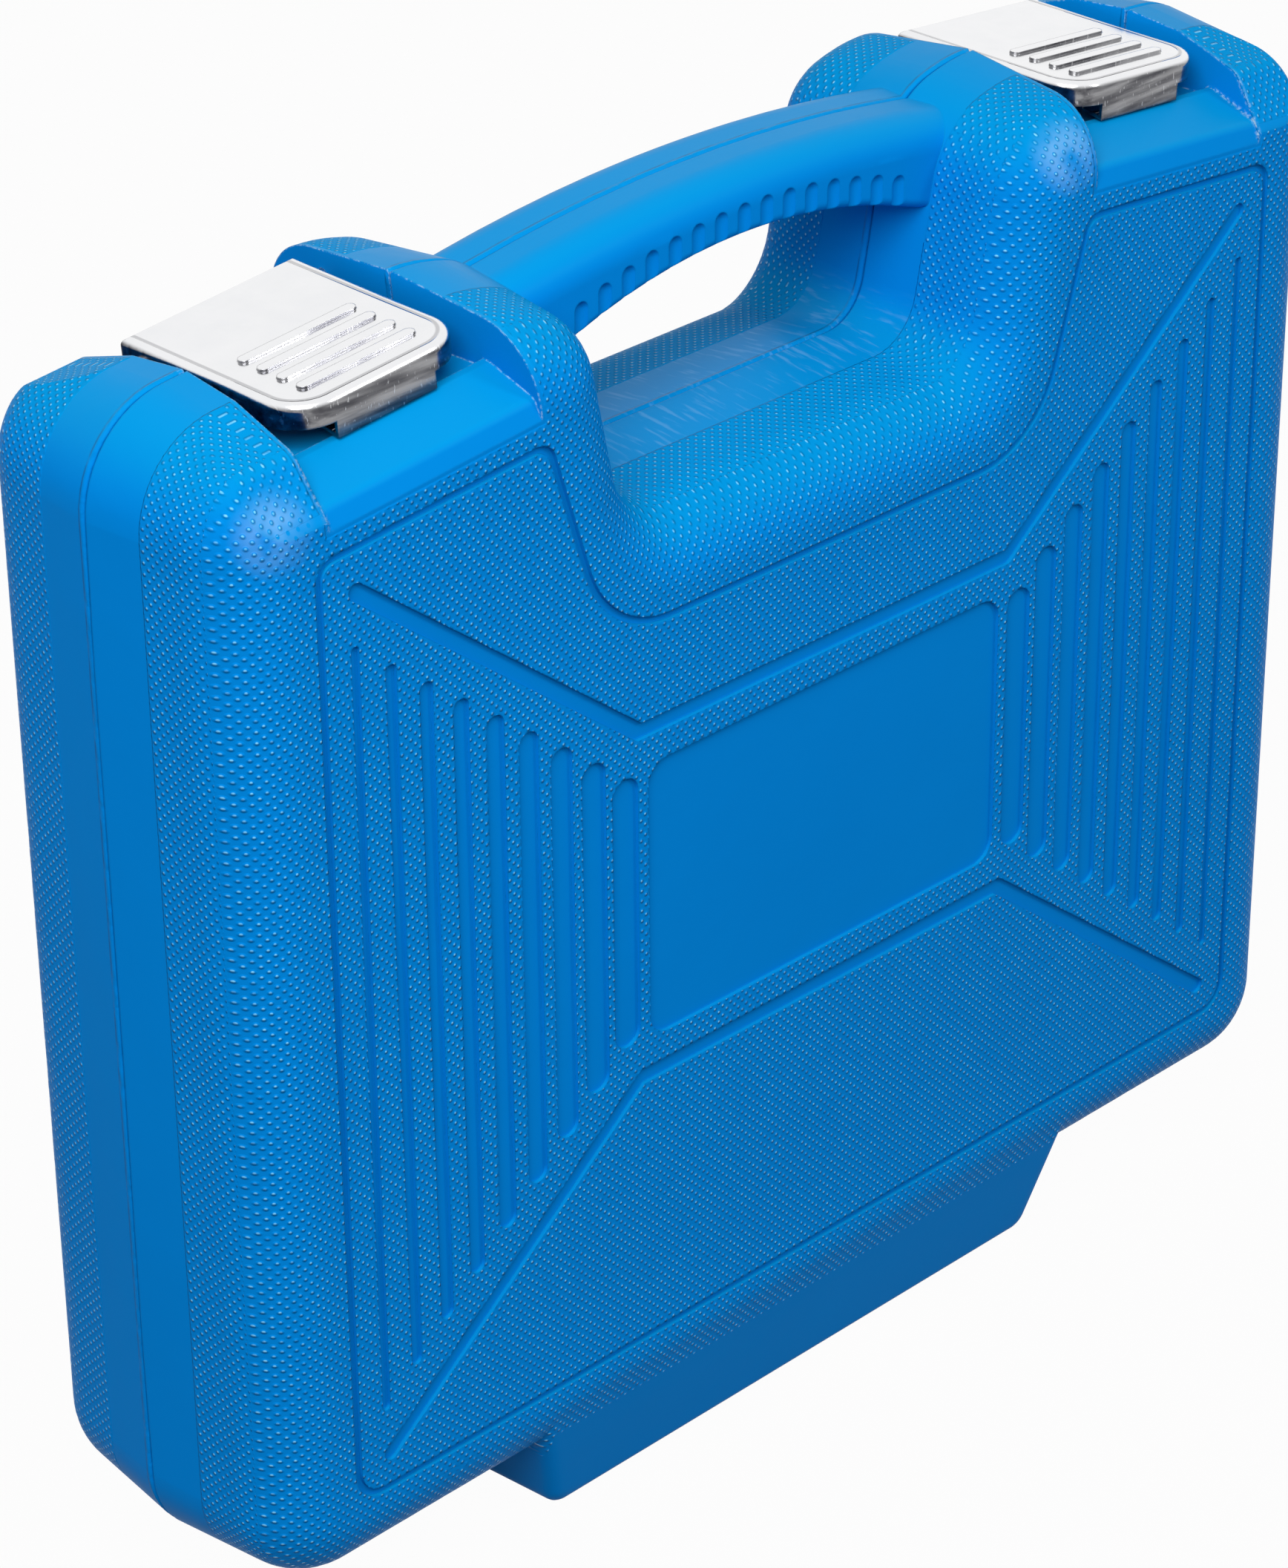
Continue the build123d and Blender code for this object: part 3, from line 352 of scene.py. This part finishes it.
def sheet_metal():
    """Bright plated sheet steel with a pressed line round the plate, painted shade along the plate's edges
    and in the pressed line, and scratched flanges painted dark as painted shade.
    """
    finish = Finish("zinc_sheet")
    x, y, z = finish.position()
    normal_z = finish.facing()[2]
    rise_z = CASE_RIDGE - tan(TOP_SLOPE) * LATCH_X
    out = abs((abs(x) - LATCH_X) * cos(TOP_SLOPE) - (z - rise_z) * sin(TOP_SLOPE))
    side = out - (LATCH_HALF_WIDTH - LATCH_CORNER)
    front = y * -1 - (LATCH_FRONT - LATCH_CORNER)
    corner = (side.most(0) * side.most(0) + front.most(0) * front.most(0)).maths("SQRT")
    inside = corner + side.most(front).least(0) - LATCH_CORNER
    pressed = abs(inside + LATCH_LINE_INSET).rise(0.7, 0.2)
    rolled = finish.noise(0.5, detail=3, stretch=(0.04, 1, 1))
    scratch = finish.noise(0.6, detail=2, stretch=(1, 0.06, 0.3)).rise(0.62, 0.72)
    rounded = finish.rounded(0.5)
    plate = normal_z.rise(0.8, 0.95)
    finish.bump(rolled * 0.004 + finish.noise(16.0) * 0.10 - pressed * plate * 0.12, rounded)
    # Painted shade: the plate darkens along its sharp edges and in the pressed line.
    painted_edge_shade = finish.edges(rounded).rise(0.01, 0.10).most(pressed * 0.7) * plate
    bright = finish.mix(finish.noise(9.0, detail=4), (0.82, 0.83, 0.85), (0.91, 0.91, 0.92))
    bright = finish.mix(painted_edge_shade * 0.75, bright, (0.30, 0.30, 0.32))
    # Painted shade: the flanges, which face sideways, are painted far darker than the plate, with streaks.
    # worn mixes this painted shade with lighter scratches, and faces that point up take the bright plate
    # colour.
    streak = finish.noise(2.2, detail=4, stretch=(0.10, 1, 1)).rise(0.3, 0.75)
    painted_flange_shade = finish.mix(streak, (0.07, 0.07, 0.08), (0.34, 0.34, 0.35))
    worn = finish.mix(scratch * 0.5, painted_flange_shade, (0.70, 0.70, 0.71))
    finish.set(
        Base_Color=finish.mix(normal_z.rise(0.15, 0.75), worn, bright),
        Metallic=1.0,
        Roughness=rolled * 0.08 + 0.12 + scratch * 0.1,
    )
    return finish.material


def steel(name, low, high, roughness):
    """Plated or drawn steel with fine machining marks."""
    finish = Finish(name)
    marks = finish.noise(0.35, detail=3, stretch=(1, 1, 0.2))
    finish.bump(marks * 0.004, finish.rounded(0.4))
    finish.set(
        Base_Color=finish.mix(finish.noise(6.0, detail=4), low, high),
        Metallic=1.0,
        Roughness=marks * 0.1 + roughness,
    )
    return finish.material


def matt_plastic(name, low, high, grain_size, grain_height, roughness):
    """Black plastic with a fine moulded or formed grain."""
    finish = Finish(name)
    grain = finish.noise(grain_size, detail=4, roughness=0.6)
    finish.bump(grain * grain_height, finish.rounded(0.6))
    finish.set(
        Base_Color=finish.mix(finish.noise(25.0, detail=3), low, high),
        Roughness=grain * 0.15 + roughness,
    )
    return finish.material


def dress(materials):
    """Each CAD node takes the finish of its material slot in the record."""
    for part in frame["record"]["subparts"]:
        node = frame["nodes"][part["node"]]
        node.data.materials.clear()
        node.data.materials.append(materials[part["material_slot"]])


def add_camera():
    """The photograph's view, from in front, above and to the left."""
    level = Vector((cos(CAMERA_AZIMUTH), -sin(CAMERA_AZIMUTH), 0))
    back = Vector((-sin(CAMERA_AZIMUTH), -cos(CAMERA_AZIMUTH), 0)) * cos(CAMERA_ELEVATION)
    back.z = sin(CAMERA_ELEVATION)
    upright = back.cross(level)
    right = level * cos(CAMERA_ROLL) + upright * sin(CAMERA_ROLL)
    up = back.cross(right)
    data = bpy.data.cameras.new("camera")
    data.sensor_width = CAMERA_SENSOR
    data.lens = CAMERA_LENS
    data.clip_end = 50
    camera = bpy.data.objects.new("camera", data)
    turn = Matrix((right, up, back)).transposed().to_4x4()
    camera.matrix_world = Matrix.Translation(CAMERA_PLACE) @ turn
    bpy.context.scene.collection.objects.link(camera)
    bpy.context.scene.camera = camera


def add_softbox(name, place, aim, size, power):
    """A square area lamp that faces a point."""
    data = bpy.data.lights.new(name, "AREA")
    data.shape = "SQUARE"
    data.size = size
    data.energy = power
    lamp = bpy.data.objects.new(name, data)
    lamp.location = place
    lamp.rotation_mode = "QUATERNION"
    lamp.rotation_quaternion = (Vector(aim) - Vector(place)).to_track_quat("-Z", "Y")
    bpy.context.scene.collection.objects.link(lamp)


def seen_directly(tree):
    """1 for rays from the camera, from glossy surfaces and through clear ones."""
    rays = tree.nodes.new("ShaderNodeLightPath")
    camera, glossy, clear = (
        Field(tree, rays.outputs[name])
        for name in ("Is Camera Ray", "Is Glossy Ray", "Is Transmission Ray")
    )
    return camera.most(glossy).most(clear)


def add_floor():
    """A pale floor that keeps the soft shadow and lets the lid show where it swings below the foot."""
    half = FLOOR_HALF_WIDTH
    mesh = bpy.data.meshes.new("floor")
    corners = [(-half, -half, 0), (half, -half, 0), (half, half, 0), (-half, half, 0)]
    mesh.from_pydata(corners, [], [(0, 1, 2, 3)])
    floor = bpy.data.objects.new("floor", mesh)
    floor.location = (0, 0, -FLOOR_DROP)
    bpy.context.scene.collection.objects.link(floor)
    finish = Finish("floor")
    finish.set(Base_Color=(FLOOR_GREY, FLOOR_GREY, FLOOR_GREY), Roughness=0.9, Specular_IOR_Level=0.0)
    clear = finish.tree.nodes.new("ShaderNodeBsdfTransparent")
    blend = finish.tree.nodes.new("ShaderNodeMixShader")
    finish.link(seen_directly(finish.tree) * FLOOR_CLEARNESS, blend.inputs[0])
    finish.link(finish.shader.outputs[0], blend.inputs[1])
    finish.link(clear.outputs[0], blend.inputs[2])
    finish.link(blend.outputs[0], finish.tree.nodes["Material Output"].inputs["Surface"])
    mesh.materials.append(finish.material)


def add_world():
    """Even studio light, with a plain white background where it is seen."""
    world = bpy.data.worlds.new("studio")
    bpy.context.scene.world = world
    world.use_nodes = True
    tree = world.node_tree
    background = tree.nodes["Background"]
    background.inputs["Color"].default_value = (1, 1, 1, 1)
    direct = seen_directly(tree)
    strength = direct * (1 - WORLD_LIGHT) + WORLD_LIGHT
    tree.links.new(strength.socket, background.inputs["Strength"])


dress(
    {
        "case_plastic": case_plastic(),
        "liner_plastic": matt_plastic(
            "liner_plastic", (0.018, 0.018, 0.02), (0.028, 0.028, 0.03), 0.5, 0.03, 0.5
        ),
        "zinc_sheet": sheet_metal(),
        "pin_steel": steel("pin_steel", (0.45, 0.45, 0.47), (0.6, 0.6, 0.62), 0.25),
        "tool_chrome": steel("tool_chrome", (0.70, 0.71, 0.73), (0.80, 0.81, 0.82), 0.14),
        "grip_plastic": matt_plastic(
            "grip_plastic", (0.012, 0.012, 0.014), (0.022, 0.022, 0.025), 0.8, 0.05, 0.45
        ),
        "control_steel": steel("control_steel", (0.22, 0.22, 0.24), (0.32, 0.32, 0.34), 0.22),
    }
)
add_camera()
add_floor()
add_world()
for name, place, size, power in SOFTBOXES:
    add_softbox(name, place, LAMP_AIM, size, power)
bpy.context.scene.view_settings.view_transform = "Standard"
